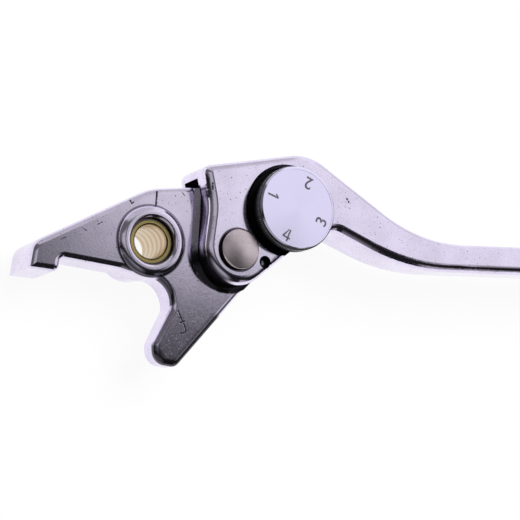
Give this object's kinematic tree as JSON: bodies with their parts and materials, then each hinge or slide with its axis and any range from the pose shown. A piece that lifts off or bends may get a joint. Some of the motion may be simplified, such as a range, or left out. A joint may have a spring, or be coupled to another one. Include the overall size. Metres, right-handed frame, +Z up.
{
  "type": "adjustable brake lever",
  "caption": "Cast brake lever in two hinged pieces: a knocker that turns on a bushed pivot and pushes the piston, and a blade whose reach is set by a numbered cam dial.",
  "frame": {"origin": "middle of the pivot bore, on its axis", "axes": "+Z up the pivot bore towards the dial, +X along the blade to its ball end, +Y away from the grip"},
  "size_m": [0.1968, 0.0535, 0.0259],
  "materials": {
    "cast_aluminium": "tumbled casting with pits and scratches",
    "bearing_bronze": "turned",
    "pewter_steel": "satin",
    "plated_steel": "zinc plated",
    "dial_black": "black knurled side, machined pale face",
    "spring_steel": "oiled"
  },
  "bodies": {
    "knocker": {"knocker": "cast_aluminium", "pivot_bush": "bearing_bronze"},
    "pin": {"joint_pin": "pewter_steel", "pin_washer": "plated_steel"},
    "blade": {"lever_blade": "cast_aluminium", "return_spring": "spring_steel"},
    "dial": {"adjuster_dial": "dial_black", "cam_spindle": "plated_steel", "cam_washer": "plated_steel", "cam_clip": "spring_steel"}
  },
  "joints": [
    {"name": "reach_set", "type": "hinge", "parent": "knocker", "child": "pin", "pos_m": [0.0196, -0.0002, 0.006], "axis": [0, 0, 1], "range_deg": [0, 4.5], "deforming": ["return_spring"]},
    {"name": "push_forward", "type": "hinge", "parent": "pin", "child": "blade", "pos_m": [0.0196, -0.0002, 0.006], "axis": [0, 0, 1], "range_deg": [0, 2.5], "stiffness_Nm_per_rad": 0.09, "springref_deg": -6.88, "deforming": ["return_spring"]},
    {"name": "dial_turn", "type": "hinge", "parent": "blade", "child": "dial", "pos_m": [0.0323, 0.01085, 0.0155], "axis": [0, 0, 1], "range_deg": [-270, 0]}
  ],
  "couplings": [
    {"joint": "dial_turn", "follows": "reach_set", "ratio": -60}
  ]
}
